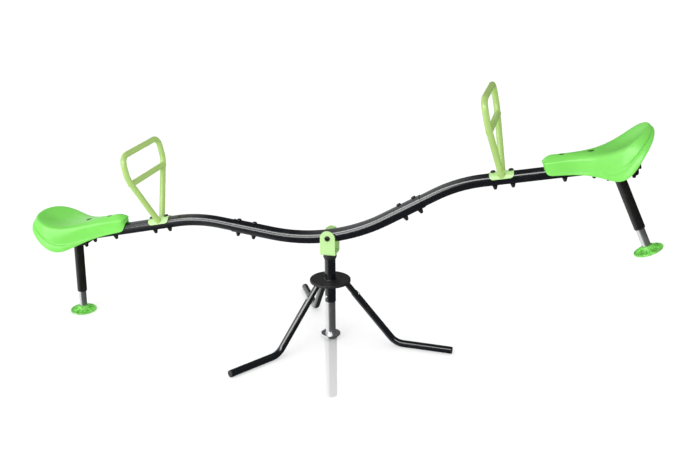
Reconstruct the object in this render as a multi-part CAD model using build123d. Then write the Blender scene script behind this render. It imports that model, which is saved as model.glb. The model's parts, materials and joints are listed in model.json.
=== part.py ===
from build123d import *
from math import sin, cos, tan, radians, sqrt
import os

# A spinning garden seesaw, in millimetres. The origin is on the post's axis at ground level,
# +Z is up and +X runs along the beam towards its raised end. The beam rests with its -X foot
# on the ground. Beam pieces are drawn level, with the pivot at (0, 0, 0), and tipped at the end.

# ---- overall layout ----
PIVOT_HEIGHT = 352.5          # pivot bolt above the ground
TILT = 11.75                  # beam angle with one foot on the ground, degrees

# ---- clearances ----
SLIP = 0.1                    # tube in tube, and shank in hole, on a radius
RUNNING = 0.05                # shaft in bush, on a radius
FREE = 0.3                    # gap between faces that move past one another

# ---- ground stake and mast ----
STAKE_WALL = 3.0
STAKE_GAP = 0.5               # mast in stake, on a radius
STAKE_TOP = 11.0
STAKE_BOTTOM = -188.0         # the teeth hang below this
TOOTH_LENGTH = 28.0
FLANGE_D = 62.0
FLANGE_T = 4.0
MAST_OD = 32.0
MAST_WALL = 2.0
MAST_BOTTOM = -150.0
MAST_TOP = 200.0

# ---- black post sleeve, hub and legs ----
SLEEVE_WALL = 1.5
SLEEVE_BOTTOM = 129.0
HUB_D = 131.0
HUB_T = 4.0
HUB_TOP = 206.0
HUB_LIP = 3.5                 # rim turned down below the plate
HUB_EDGE = 2.5                # rounding over the rim
LEG_AZIMUTHS = (236.2, 356.2, 118.7)
LEG_NAMES = ("front_left", "front_right", "rear")
LEG_OD = 22.2
LEG_WALL = 1.5
LEG_SLOPE = 48.5
LEG_REACH = 400.0             # from the post's axis to the end of a leg
LEG_BEND = 55.0
STUB_WALL = 1.5
STUB_TOP_R = 50.0             # stub axis meets the underside of the hub here
STUB_SHOWING = 44.0
STUB_INSERT = 45.0
LEG_SCREW_R = 3.0
LEG_SCREW_SETBACK = 14.0
PLUG_T = 2.0
PLUG_DEPTH = 14.0
POST_SCREW_Z = 147.0
POST_SCREW_R = 3.5
SCREW_HEAD_RIM = 1.6          # a small screw's head stands out this far round its shank
SCREW_HEAD_H = 2.1
SCREW_END = 3.0               # a small screw's tip past the last wall that it holds

# ---- swivel head ----
SPINDLE_D = 20.0
SPINDLE_END_T = 2.5
SPINDLE_WASHER_D = 26.0
SPINDLE_BOLT_R = 5.0
SPINDLE_BOLT_HEAD_AF = 16.0
SPINDLE_BOLT_HEAD_H = 6.4
SPINDLE_BOLT_LENGTH = 30.0
UPPER_BUSH_D = 43.0
UPPER_BUSH_T = 10.5
UPPER_BUSH_TAPER = 6.5
UPPER_BUSH_SKIRT = 1.2        # thickness at the bottom of the taper
UPPER_BUSH_EDGE = 1.5         # rounding of its top edge
UPPER_BUSH_SPIGOT = 40.0
LOWER_BUSH_LENGTH = 20.0
THRUST_WASHER_T = 2.0
CLEVIS_WIDTH = 48.0
CLEVIS_T = 4.0
CLEVIS_SPAN = 60.0            # over the outside of the two ears
CLEVIS_BASE = 57.5            # pivot axis down to the underside of the web
CLEVIS_BEND = 7.0
PIVOT_BOLT_R = 5.0
PIVOT_HEAD_D = 17.0
PIVOT_HEAD_H = 5.5
PIVOT_KEY_AF = 6.0            # hexagon socket in its head
PIVOT_KEY_DEPTH = 3.5
PIVOT_BOLT_END = 2.0          # thread showing past the nut
PIVOT_NUT_AF = 16.0
PIVOT_NUT_H = 8.5
PIVOT_TUBE_OD = 20.0
PIVOT_TUBE_WALL = 3.0
PIVOT_BUSH_FLANGE_T = 1.2
PIVOT_BUSH_LENGTH = 16.0

# ---- beam ----
CENTRE_OD = 42.0
CENTRE_WALL = 1.9
OUTER_WALL = 2.0
RISE_ANGLE = 19.0             # slope of the straight runs each side of the dip
DIP_RADIUS = 584.0
SHOULDER_U = 430.0            # where rising and outer runs would meet
SHOULDER_RADIUS = 450.0
OUTER_FALL = 0.9              # outer runs fall this much towards the seats, degrees
CENTRE_REACH = 314.0          # end of the centre tube, measured along the level beam
OUTER_START = 215.0
OUTER_END = 950.0
CAP_T = 4.0
CAP_DEPTH = 12.0
CAP_EDGE = 2.5

# ---- M6 fasteners of the beam ----
BOLT_R = 3.0
BOLT_HEAD_R = 7.5
BOLT_HEAD_H = 4.5
NUT_AF = 10.0
NUT_H = 6.0
NUT_CAP_R = 8.3
NUT_CAP_TIP_R = 4.2
NUT_CAP_H = 12.5
NUT_CAP_ROOM = 1.0            # air over the bolt's end inside its cap
BOLT_STICKOUT = 7.5           # shank showing below the face that its nut seats on
SPLICE_US = (246.0, 295.5)
HANDLE_US = (538.5, 591.5)
SEAT_US = (741.0, 823.0)
BRACKET_US = (861.0, 932.0)

# ---- handles ----
HANDLE_U = 564.0
HANDLE_OD = 19.0
HANDLE_WALL = 1.5
HANDLE_TOP = 373.5            # heights are above the pivot axis, square to the beam
HANDLE_KNEE = 301.5
HANDLE_CROSSBAR = 281.5
HANDLE_FOOT = 122.0
HANDLE_HALF_WIDTH = 130.0
HANDLE_FOOT_HALF = 12.5
HANDLE_TOP_BEND = 32.0
HANDLE_KNEE_BEND = 55.0
SADDLE_LENGTH = 72.0
SADDLE_T = 3.0
SADDLE_SKIRT = 3.0            # lower edge above the beam axis
SADDLE_CORNER = 12.0

# ---- seats ----
SEAT_T = 3.5
SEAT_NOSE_U = 687.0
SEAT_EDGE_DROP = 7.0          # the rolled edge sits this far below the top surface
SEAT_BOSS_R = 11.0
SEAT_BOLT_RECESS_R = 9.5
SEAT_BOLT_RECESS = 7.0
SEAT_ARCH_GAP = 2.0
# (distance from nose, half width, edge height, centre height, hem height, flare of the hem)
SEAT_STATIONS = (
    (0, 24, 146, 152, 110, 0),
    (9, 26, 148, 156, 108, 0),
    (26, 28, 150, 160.5, 106, 1),
    (76, 31, 152, 163, 103, 1),
    (116, 42, 153, 161, 99, 3),
    (150, 60, 155, 157, 94, 8),
    (190, 80, 158, 153, 90, 17),
    (218, 89, 169, 153, 95, 26),
    (244, 88, 183, 158, 113, 32),
    (270, 78, 199, 175, 146, 30),
    (290, 62, 208, 197, 170, 28),
    (302, 42, 211, 203, 184, 20),
    (309, 16, 207, 200, 192, 8),
)

# ---- bumpers ----
BUMPER_RAKE = 13.4            # bumper legs splay outwards from square to the beam
BUMPER_U = 882.7              # where a bumper's axis crosses the beam's axis
BUMPER_OD = 32.0
BUMPER_WALL = 2.0
BUMPER_END = 200.0            # all bumper distances run down its axis from the beam's axis
BUMPER_PLUG = 62.0
BUMPER_PLUG_T = 6.0
GUIDE_LENGTH = 20.0
GUIDE_LIP = 3.0
PLUNGER_OD = 25.0
PLUNGER_WALL = 1.5
PISTON_WEB = 3.0
PISTON_LENGTH = 15.0
SPRING_WIRE = 2.5
SPRING_RADIUS = 10.5
SPRING_TURNS = 8
BRACKET_START = 843.0
BRACKET_END = 946.0
BRACKET_T = 3.0
BRACKET_DEPTH = 9.0           # gap between the beam's underside and the bracket's web
BRACKET_CORNER = 8.0
FOOT_R = 43.5
FOOT_RIM = 7.0
FOOT_CROWN = 10.0
FOOT_COLLAR_R = 17.0
FOOT_COLLAR_H = 20.0
FOOT_FLOOR = 4.0              # thickness under the plunger
FOOT_CHAMFER = 3.0

# ---- worked-out sizes ----
STAKE_OD = MAST_OD + 2 * STAKE_GAP + 2 * STAKE_WALL
SLEEVE_ID = MAST_OD + 2 * SLIP
SLEEVE_OD = SLEEVE_ID + 2 * SLEEVE_WALL
OUTER_OD = CENTRE_OD - 2 * CENTRE_WALL - 2 * SLIP
STUB_OD = LEG_OD - 2 * LEG_WALL - 2 * SLIP
WEB_BOTTOM = PIVOT_HEIGHT - CLEVIS_BASE
THRUST_BOTTOM = WEB_BOTTOM - THRUST_WASHER_T
BUSH_TOP = THRUST_BOTTOM - FREE
SLEEVE_TOP = BUSH_TOP - UPPER_BUSH_T
SPINDLE_END = MAST_TOP - FREE
EAR_OUT = CLEVIS_SPAN / 2
EAR_IN = EAR_OUT - CLEVIS_T
DIP_TANGENT = DIP_RADIUS * tan(radians(RISE_ANGLE / 2))
SHOULDER_V = (SHOULDER_U - DIP_TANGENT) * tan(radians(RISE_ANGLE))
LEG_Z = LEG_OD / 2
STUB_TOP_Z = HUB_TOP - HUB_T


def rise(u):
    """Beam axis on a rising run: height and slope."""
    return (u - DIP_TANGENT) * tan(radians(RISE_ANGLE)), RISE_ANGLE


def outer(u):
    """Beam axis on an outer run: height and slope."""
    return SHOULDER_V - (u - SHOULDER_U) * tan(radians(OUTER_FALL)), -OUTER_FALL


def beam_spot(u, run):
    """Local axes on the +X half of the beam: x outwards along it, z square to it."""
    v, slope = run(u)
    a = radians(slope)
    return Plane(origin=(u, 0, v), x_dir=(cos(a), 0, sin(a)), z_dir=(-sin(a), 0, cos(a))).location


def bumper_spot(distance):
    """Local axes on the +X bumper leg: z points down its axis, y is across the beam."""
    a = radians(BUMPER_RAKE)
    v = outer(BUMPER_U)[0]
    origin = (BUMPER_U + distance * sin(a), 0, v - distance * cos(a))
    return Plane(origin=origin, x_dir=(-cos(a), 0, -sin(a)), z_dir=(sin(a), 0, -cos(a))).location


def foot_distance():
    """Distance down a bumper's axis to the ground when its end of the beam is down."""
    t = radians(TILT)
    a = radians(BUMPER_RAKE)
    start = PIVOT_HEIGHT - BUMPER_U * sin(t) + outer(BUMPER_U)[0] * cos(t)
    return start / (sin(a) * sin(t) + cos(a) * cos(t))


FOOT_END = foot_distance()


def tipped(shape):
    """Put a piece drawn on the level beam where the resting beam holds it."""
    return Pos(0, 0, PIVOT_HEIGHT) * Rot(0, -TILT, 0) * shape


def other_end(shape):
    return mirror(shape, about=Plane.YZ)


def rod(radius, length, radius_top=None):
    """Solid round standing on its own z = 0."""
    align = (Align.CENTER, Align.CENTER, Align.MIN)
    if radius_top is None:
        return Cylinder(radius, length, align=align)
    return Cone(radius, radius_top, length, align=align)


def ring(outer_r, inner_r, length):
    return rod(outer_r, length) - Pos(0, 0, -1) * rod(inner_r, length + 2)


def hexagon(across_flats, height):
    return extrude(RegularPolygon(across_flats / 2, 6, major_radius=False), height)


def bent_path(points, radii):
    """Straight runs joined by tangent arcs; one radius per inner point."""
    points = [Vector(*p) for p in points]
    edges = []
    start = points[0]
    for before, corner, after, r in zip(points, points[1:], points[2:], radii):
        into = (before - corner).normalized()
        away = (after - corner).normalized()
        half = radians(into.get_angle(away)) / 2
        reach = r / tan(half)
        bisector = (into + away).normalized()
        near = corner + into * reach
        far = corner + away * reach
        crown = corner + bisector * (r / sin(half) - r)
        edges.append(Edge.make_line(start, near))
        edges.append(Edge.make_three_point_arc(near, crown, far))
        start = far
    edges.append(Edge.make_line(start, points[-1]))
    return Wire(edges)


def tube_along(path, outer_d, wall):
    """Round tube swept along a path, or a solid round when wall is None."""
    section = Plane(origin=path @ 0, z_dir=path % 0) * Circle(outer_d / 2)
    solid = sweep(section, path=path)
    if wall is None:
        return solid
    bore = Plane(origin=path @ 0, z_dir=path % 0) * Circle(outer_d / 2 - wall)
    return solid - sweep(bore, path=path)


# ---------------------------------------------------------------- post and tripod

def ground_stake():
    radius = STAKE_OD / 2
    tube = Pos(0, 0, STAKE_BOTTOM) * ring(radius, radius - STAKE_WALL, STAKE_TOP - STAKE_BOTTOM)
    skirt = Pos(0, 0, STAKE_BOTTOM - TOOTH_LENGTH) * ring(radius, radius - STAKE_WALL, TOOTH_LENGTH)
    notch = Polygon(
        (-radius, -TOOTH_LENGTH - 1), (0, 0), (radius, -TOOTH_LENGTH - 1), align=None
    )
    cutter = Pos(0, radius + 1, STAKE_BOTTOM) * Rot(90, 0, 0) * extrude(notch, 2 * radius + 2)
    teeth = skirt
    for turn in (0, 90):
        teeth = teeth - Rot(0, 0, 30 + turn) * cutter
    return tube + teeth


def stake_flange():
    return Pos(0, 0, STAKE_TOP) * ring(FLANGE_D / 2, MAST_OD / 2 + SLIP, FLANGE_T)


def screw_hole(azimuth, z, radius):
    """Radial hole through one side of the post."""
    return Pos(0, 0, z) * Rot(0, 0, azimuth) * Rot(0, 90, 0) * rod(radius + SLIP, MAST_OD)


def mast_tube():
    radius = MAST_OD / 2
    tube = Pos(0, 0, MAST_BOTTOM) * ring(radius, radius - MAST_WALL, MAST_TOP - MAST_BOTTOM)
    return tube - screw_hole(LEG_AZIMUTHS[0], POST_SCREW_Z, POST_SCREW_R)


def post_sleeve():
    length = SLEEVE_TOP - SLEEVE_BOTTOM
    tube = Pos(0, 0, SLEEVE_BOTTOM) * ring(SLEEVE_OD / 2, SLEEVE_ID / 2, length)
    return tube - screw_hole(LEG_AZIMUTHS[0], POST_SCREW_Z, POST_SCREW_R)


def small_screw(radius, depth):
    """Screw pointing down, with its head standing on z = 0."""
    shank = Pos(0, 0, -depth) * rod(radius, depth)
    return shank + rod(radius + SCREW_HEAD_RIM, SCREW_HEAD_H, radius)


def post_screw():
    """Button-headed screw through sleeve and mast."""
    depth = SLEEVE_WALL + SLIP + MAST_WALL + SCREW_END
    screw = small_screw(POST_SCREW_R, depth)
    spot = Pos(0, 0, POST_SCREW_Z) * Rot(0, 0, LEG_AZIMUTHS[0]) * Rot(0, 90, 0)
    return spot * Pos(0, 0, SLEEVE_OD / 2) * screw


def hub_plate():
    plate = Pos(0, 0, HUB_TOP - HUB_T) * rod(HUB_D / 2, HUB_T)
    lip = Pos(0, 0, HUB_TOP - HUB_T - HUB_LIP) * ring(HUB_D / 2, HUB_D / 2 - HUB_T, HUB_LIP)
    plate = fillet((plate + lip).edges().filter_by(GeomType.CIRCLE).group_by(Axis.Z)[-1], HUB_EDGE)
    # the lip is notched where the legs leave
    for notch in on_each_leg(stub_run(STUB_OD + 2 * FREE, None)):
        plate = plate - notch
    return plate - Pos(0, 0, HUB_TOP - HUB_T - 1) * rod(SLEEVE_OD / 2, HUB_T + 2)


def leg_frame(azimuth):
    """Vertical plane of one leg: local x is the distance from the post."""
    return Rot(0, 0, azimuth)


def leg_point(distance):
    """Point on the sloping run, by distance from the stub's top."""
    a = radians(LEG_SLOPE)
    return STUB_TOP_R + distance * cos(a), STUB_TOP_Z - distance * sin(a)


def knee_radius():
    """Where the sloping axis comes down to the height of the flat run."""
    return STUB_TOP_R + (STUB_TOP_Z - LEG_Z) / tan(radians(LEG_SLOPE))


def stub_run(diameter, wall):
    """Straight run under the hub, cut off flush with the plate's underside."""
    x0, z0 = leg_point(-LEG_OD)
    x1, z1 = leg_point(STUB_SHOWING + STUB_INSERT)
    run = tube_along(Wire([Edge.make_line((x0, 0, z0), (x1, 0, z1))]), diameter, wall)
    above = Box(2 * LEG_REACH, HUB_D, HUB_D, align=(Align.CENTER, Align.CENTER, Align.MIN))
    return run - Pos(0, 0, STUB_TOP_Z) * above


def leg_stub():
    return stub_run(STUB_OD, STUB_WALL) - leg_screw_hole()


def leg_tube():
    x0, z0 = leg_point(STUB_SHOWING)
    path = bent_path([(x0, 0, z0), (knee_radius(), 0, LEG_Z), (LEG_REACH, 0, LEG_Z)], [LEG_BEND])
    return tube_along(path, LEG_OD, LEG_WALL) - leg_screw_hole()


def leg_screw_spot(offset):
    """On top of the sleeve joint, local z square to the leg."""
    a = radians(LEG_SLOPE)
    x, z = leg_point(STUB_SHOWING + LEG_SCREW_SETBACK)
    origin = (x + offset * sin(a), 0, z + offset * cos(a))
    return Plane(origin=origin, x_dir=(cos(a), 0, -sin(a)), z_dir=(sin(a), 0, cos(a))).location


def leg_screw_hole():
    return leg_screw_spot(0) * rod(LEG_SCREW_R + SLIP, LEG_OD)


def leg_screw():
    depth = LEG_WALL + STUB_WALL + SLIP + SCREW_END
    return leg_screw_spot(LEG_OD / 2) * small_screw(LEG_SCREW_R, depth)


def leg_end_plug():
    face = Pos(LEG_REACH, 0, LEG_Z) * Rot(0, 90, 0) * rod(LEG_OD / 2, PLUG_T)
    stem = Pos(LEG_REACH - PLUG_DEPTH, 0, LEG_Z) * Rot(0, 90, 0) * rod(
        LEG_OD / 2 - LEG_WALL - SLIP, PLUG_DEPTH
    )
    return fillet(face.edges().group_by(Axis.X)[-1], 1.0) + stem


def on_each_leg(piece):
    return [leg_frame(a) * piece for a in LEG_AZIMUTHS]


# ---------------------------------------------------------------- swivel head

def upper_bush():
    """Flanged collar that caps the sleeve and guides the spindle."""
    flange = Pos(0, 0, SLEEVE_TOP) * rod(UPPER_BUSH_D / 2, UPPER_BUSH_T)
    flange = fillet(flange.edges().group_by(Axis.Z)[-1], UPPER_BUSH_EDGE)
    taper = Pos(0, 0, SLEEVE_TOP - UPPER_BUSH_TAPER) * (
        rod(SLEEVE_OD / 2 + UPPER_BUSH_SKIRT, UPPER_BUSH_TAPER, UPPER_BUSH_D / 2)
        - rod(SLEEVE_OD / 2 + SLIP, UPPER_BUSH_TAPER)
    )
    spigot = Pos(0, 0, SLEEVE_TOP - UPPER_BUSH_SPIGOT) * rod(SLEEVE_ID / 2 - SLIP, UPPER_BUSH_SPIGOT)
    through = UPPER_BUSH_SPIGOT + UPPER_BUSH_T + 2
    bore = Pos(0, 0, SLEEVE_TOP - UPPER_BUSH_SPIGOT - 1) * rod(SPINDLE_D / 2 + RUNNING, through)
    return flange + taper + spigot - bore


def lower_bush():
    return Pos(0, 0, MAST_TOP) * ring(SLEEVE_ID / 2 - SLIP, SPINDLE_D / 2 + RUNNING, LOWER_BUSH_LENGTH)


def spindle():
    shaft = Pos(0, 0, SPINDLE_END) * rod(SPINDLE_D / 2, WEB_BOTTOM - SPINDLE_END)
    return shaft - Pos(0, 0, SPINDLE_END) * rod(SPINDLE_BOLT_R + SLIP, SPINDLE_BOLT_LENGTH + 1)


def thrust_washer():
    outer_r = UPPER_BUSH_D / 2 - UPPER_BUSH_EDGE
    return Pos(0, 0, THRUST_BOTTOM) * ring(outer_r, SPINDLE_D / 2 + SLIP, THRUST_WASHER_T)


def spindle_washer():
    z = SPINDLE_END - SPINDLE_END_T
    return Pos(0, 0, z) * ring(SPINDLE_WASHER_D / 2, SPINDLE_BOLT_R + SLIP, SPINDLE_END_T)


def spindle_bolt():
    z = SPINDLE_END - SPINDLE_END_T
    head = Pos(0, 0, z - SPINDLE_BOLT_HEAD_H) * hexagon(SPINDLE_BOLT_HEAD_AF, SPINDLE_BOLT_HEAD_H)
    return head + Pos(0, 0, z) * rod(SPINDLE_BOLT_R, SPINDLE_BOLT_LENGTH)


def clevis():
    """U-bracket folded from strip, ears rounded about the pivot."""
    low = -CLEVIS_BASE
    block = Rectangle(CLEVIS_SPAN, CLEVIS_BASE + CLEVIS_WIDTH / 2, align=(Align.CENTER, Align.MIN))
    block = fillet(block.vertices().group_by(Axis.Y)[0], CLEVIS_BEND)
    hollow = Pos(0, CLEVIS_T) * Rectangle(
        2 * EAR_IN, CLEVIS_BASE + CLEVIS_WIDTH, align=(Align.CENTER, Align.MIN)
    )
    hollow = fillet(hollow.vertices().group_by(Axis.Y)[0], CLEVIS_BEND - CLEVIS_T)
    # the U lies in the YZ plane and is as wide along X as the strip
    strip = Plane(origin=(0, 0, low), x_dir=(0, 1, 0), z_dir=(1, 0, 0)) * (block - hollow)
    strip = extrude(strip, CLEVIS_WIDTH / 2, both=True)
    side = Circle(CLEVIS_WIDTH / 2) + Rectangle(
        CLEVIS_WIDTH, CLEVIS_BASE, align=(Align.CENTER, Align.MAX)
    )
    outline = extrude(Plane.XZ * side, CLEVIS_SPAN, both=True)
    ears = strip & outline
    ears = ears - Plane.XZ * Cylinder(PIVOT_BOLT_R + SLIP, 2 * CLEVIS_SPAN)
    return Pos(0, 0, PIVOT_HEIGHT) * ears


def pivot_bolt():
    """Button-headed bolt; its head is on the -Y side."""
    length = CLEVIS_SPAN + PIVOT_NUT_H + PIVOT_BOLT_END
    shank = Pos(0, -EAR_OUT, 0) * Rot(-90, 0, 0) * rod(PIVOT_BOLT_R, length)
    head = Pos(0, -EAR_OUT, 0) * Rot(90, 0, 0) * rod(PIVOT_HEAD_D / 2, PIVOT_HEAD_H)
    head = fillet(head.edges().group_by(Axis.Y)[0], PIVOT_HEAD_H * 0.7)
    socket = Pos(0, -EAR_OUT - PIVOT_HEAD_H, 0) * Rot(-90, 0, 0) * hexagon(PIVOT_KEY_AF, PIVOT_KEY_DEPTH)
    return Pos(0, 0, PIVOT_HEIGHT) * (shank + head - socket)


def pivot_nut():
    nut = hexagon(PIVOT_NUT_AF, PIVOT_NUT_H) - Pos(0, 0, -1) * rod(PIVOT_BOLT_R, PIVOT_NUT_H + 2)
    return Pos(0, EAR_OUT, PIVOT_HEIGHT) * Rot(-90, 0, 0) * nut


# ---------------------------------------------------------------- beam

def beam_points(reach_u):
    v = rise(reach_u)[0]
    return (reach_u, 0, v)


def bolt_hole(u, run, length=120):
    return beam_spot(u, run) * Pos(0, 0, -length / 2) * rod(BOLT_R + SLIP, length)


def both_ends(piece):
    return [piece, other_end(piece)]


def beam_centre_tube():
    x, _, z = beam_points(CENTRE_REACH)
    path = bent_path([(-x, 0, z), (0, 0, dip_vertex()), (x, 0, z)], [DIP_RADIUS])
    tube = tube_along(path, CENTRE_OD, CENTRE_WALL)
    for u in SPLICE_US:
        for hole in both_ends(bolt_hole(u, rise)):
            tube = tube - hole
    return tube - Plane.XZ * Cylinder(PIVOT_TUBE_OD / 2, 2 * CENTRE_OD)


def dip_vertex():
    """Height where the two rising runs would meet, below the pivot."""
    return -DIP_TANGENT * tan(radians(RISE_ANGLE))


def outer_tube():
    start = beam_points(OUTER_START)
    end_v = outer(OUTER_END)[0]
    path = bent_path([start, (SHOULDER_U, 0, SHOULDER_V), (OUTER_END, 0, end_v)], [SHOULDER_RADIUS])
    tube = tube_along(path, OUTER_OD, OUTER_WALL)
    for u in SPLICE_US:
        tube = tube - bolt_hole(u, rise)
    for u in HANDLE_US + SEAT_US + BRACKET_US:
        tube = tube - bolt_hole(u, outer)
    return tube


def beam_end_cap():
    face = rod(OUTER_OD / 2, CAP_T)
    face = fillet(face.edges().group_by(Axis.Z)[-1], CAP_EDGE)
    stem = Pos(0, 0, -CAP_DEPTH) * rod(OUTER_OD / 2 - OUTER_WALL - SLIP, CAP_DEPTH)
    return beam_spot(OUTER_END, outer) * Rot(0, 90, 0) * (face + stem)


def pivot_cross_tube():
    length = 2 * (EAR_IN - FREE - PIVOT_BUSH_FLANGE_T)
    return Plane.XZ * (
        Cylinder(PIVOT_TUBE_OD / 2, length) - Cylinder(PIVOT_TUBE_OD / 2 - PIVOT_TUBE_WALL, length)
    )


def pivot_bush(side):
    face = EAR_IN - FREE - PIVOT_BUSH_FLANGE_T
    inside_r = PIVOT_TUBE_OD / 2 - PIVOT_TUBE_WALL - SLIP
    body = Pos(0, 0, face - PIVOT_BUSH_LENGTH) * rod(inside_r, PIVOT_BUSH_LENGTH)
    flange = Pos(0, 0, face) * rod(PIVOT_TUBE_OD / 2, PIVOT_BUSH_FLANGE_T)
    bush = body + flange - rod(PIVOT_BOLT_R + RUNNING, CLEVIS_SPAN)
    return Rot(-90 * side, 0, 0) * bush


def bolt(seat_top, nut_face):
    """M6 bolt with a domed head, standing on the beam axis; its nut seats at -nut_face."""
    head = Pos(0, 0, seat_top) * rod(BOLT_HEAD_R, BOLT_HEAD_H)
    head = fillet(head.edges().group_by(Axis.Z)[-1], BOLT_HEAD_H * 0.75)
    shank = Pos(0, 0, -nut_face - BOLT_STICKOUT) * rod(BOLT_R, seat_top + nut_face + BOLT_STICKOUT)
    return head + shank


def nut(nut_face):
    blank = hexagon(NUT_AF, NUT_H) - Pos(0, 0, -1) * rod(BOLT_R, NUT_H + 2)
    return Pos(0, 0, -nut_face - NUT_H) * blank


def nut_cap(nut_face):
    """Tapered black cap pushed over a nut and its bolt end."""
    shell = rod(NUT_CAP_R, NUT_CAP_H, NUT_CAP_TIP_R)
    shell = fillet(shell.edges().group_by(Axis.Z)[-1], NUT_CAP_TIP_R / 2)
    pocket = rod(NUT_AF / sqrt(3) + SLIP, NUT_H)
    tip = rod(BOLT_R + SLIP, BOLT_STICKOUT + NUT_CAP_ROOM)
    return Pos(0, 0, -nut_face) * Rot(180, 0, 0) * (shell - pocket - tip)


# per set of bolts: places, run of the beam, head seat, nut face (distances from the beam axis)
def bolt_sets():
    tube_r = OUTER_OD / 2
    web = tube_r + BRACKET_DEPTH + BRACKET_T
    sets = {
        "splice_bolts": (SPLICE_US, rise, CENTRE_OD / 2, CENTRE_OD / 2),
        "handle_bolts": (HANDLE_US, outer, tube_r + SLIP + SADDLE_T, tube_r),
        "bracket_bolts": (BRACKET_US, outer, tube_r, web),
    }
    return sets


def seat_head_height(u):
    """Head seat of a seat bolt above the beam axis, in its recess."""
    return seat_centre(u) - SEAT_BOLT_RECESS - outer(u)[0]


def fasteners():
    """All bolts by set, with every nut and every cap."""
    bolts = {}
    nuts = []
    caps = []
    for name, (places, run, seat_top, nut_face) in bolt_sets().items():
        bolts[name] = []
        for u in places:
            spot = beam_spot(u, run)
            bolts[name] += both_ends(spot * bolt(seat_top, nut_face))
            nuts += both_ends(spot * nut(nut_face))
            caps += both_ends(spot * nut_cap(nut_face))
    bolts["seat_bolts"] = []
    for u in SEAT_US:
        spot = beam_spot(u, outer)
        bolts["seat_bolts"] += both_ends(spot * bolt(seat_head_height(u), OUTER_OD / 2))
        nuts += both_ends(spot * nut(OUTER_OD / 2))
        caps += both_ends(spot * nut_cap(OUTER_OD / 2))
    return bolts, nuts, caps


# ---------------------------------------------------------------- handles

def handle_saddle():
    inner_r = OUTER_OD / 2 + SLIP
    outer_r = inner_r + SADDLE_T
    pipe = Rot(0, 90, 0) * Cylinder(outer_r, SADDLE_LENGTH)
    side = Pos(0, SADDLE_SKIRT) * Rectangle(
        SADDLE_LENGTH, outer_r, align=(Align.CENTER, Align.MIN)
    )
    side = fillet(side.vertices().group_by(Axis.Y)[0], SADDLE_CORNER)
    blank = pipe & extrude(Plane.XZ * side, outer_r, both=True)
    blank = blank - Rot(0, 90, 0) * Cylinder(inner_r, SADDLE_LENGTH + 2)
    saddle = beam_spot(HANDLE_U, outer) * blank
    for u in HANDLE_US:
        saddle = saddle - bolt_hole(u, outer)
    return saddle


def handle_path():
    corners = [
        (HANDLE_U, -HANDLE_FOOT_HALF, HANDLE_FOOT),
        (HANDLE_U, -HANDLE_HALF_WIDTH, HANDLE_KNEE),
        (HANDLE_U, -HANDLE_HALF_WIDTH, HANDLE_TOP),
        (HANDLE_U, HANDLE_HALF_WIDTH, HANDLE_TOP),
        (HANDLE_U, HANDLE_HALF_WIDTH, HANDLE_KNEE),
        (HANDLE_U, HANDLE_FOOT_HALF, HANDLE_FOOT),
    ]
    bends = [HANDLE_KNEE_BEND, HANDLE_TOP_BEND, HANDLE_TOP_BEND, HANDLE_KNEE_BEND]
    return bent_path(corners, bends)


def handle_loop():
    tube = tube_along(handle_path(), HANDLE_OD, HANDLE_WALL)
    saddle_r = OUTER_OD / 2 + SLIP + SADDLE_T
    return tube - beam_spot(HANDLE_U, outer) * Rot(0, 90, 0) * Cylinder(saddle_r, 3 * SADDLE_LENGTH)


def handle_crossbar():
    ends = [(HANDLE_U, side * HANDLE_HALF_WIDTH, HANDLE_CROSSBAR) for side in (-1, 1)]
    bar = tube_along(Wire([Edge.make_line(*ends)]), HANDLE_OD, HANDLE_WALL)
    coped = bar - tube_along(handle_path(), HANDLE_OD, None)
    return max(coped.solids(), key=lambda s: s.volume)


# ---------------------------------------------------------------- seats

def seat_centre(u):
    """Height of the seat's middle line above the pivot, between stations."""
    s = u - SEAT_NOSE_U
    for a, b in zip(SEAT_STATIONS, SEAT_STATIONS[1:]):
        if a[0] <= s <= b[0]:
            return a[3] + (b[3] - a[3]) * (s - a[0]) / (b[0] - a[0])
    return SEAT_STATIONS[-1][3]


def seat_section(station, inset):
    """Half outline of one cross-section, from hem to middle, set in by the wall."""
    s, half, edge, centre, hem, flare = station
    side = half - inset
    points = [
        (side + flare, hem),
        (side + 0.55 * flare, (hem + edge) / 2),
        (side, edge - SEAT_EDGE_DROP - 0.6 * inset),
    ]
    for share in (0.92, 0.75, 0.5, 0.25, 0.0):
        height = centre + (edge - centre) * share ** 2.2
        points.append((share * half - 0.6 * inset * share, height - inset))
    return points


def mirrored(half):
    """Whole outline from a half that ends on the middle line."""
    return [(-y, z) for y, z in half] + [(y, z) for y, z in reversed(half[:-1])]


def section_face(station, outline):
    u = SEAT_NOSE_U + station[0]
    return Face(Wire.make_polygon([(u, y, z) for y, z in outline]))


def wall_face(station):
    """Cross-section of the moulded wall, open along the hem."""
    outside = mirrored(seat_section(station, 0))
    inside = mirrored(seat_section(station, SEAT_T))
    return section_face(station, outside + inside[::-1])


def end_wall(station, direction):
    """Flat wall closing the shell at its nose or its back edge."""
    face = section_face(station, mirrored(seat_section(station, 0)))
    return extrude(face, SEAT_T, dir=(direction, 0, 0))


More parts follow.
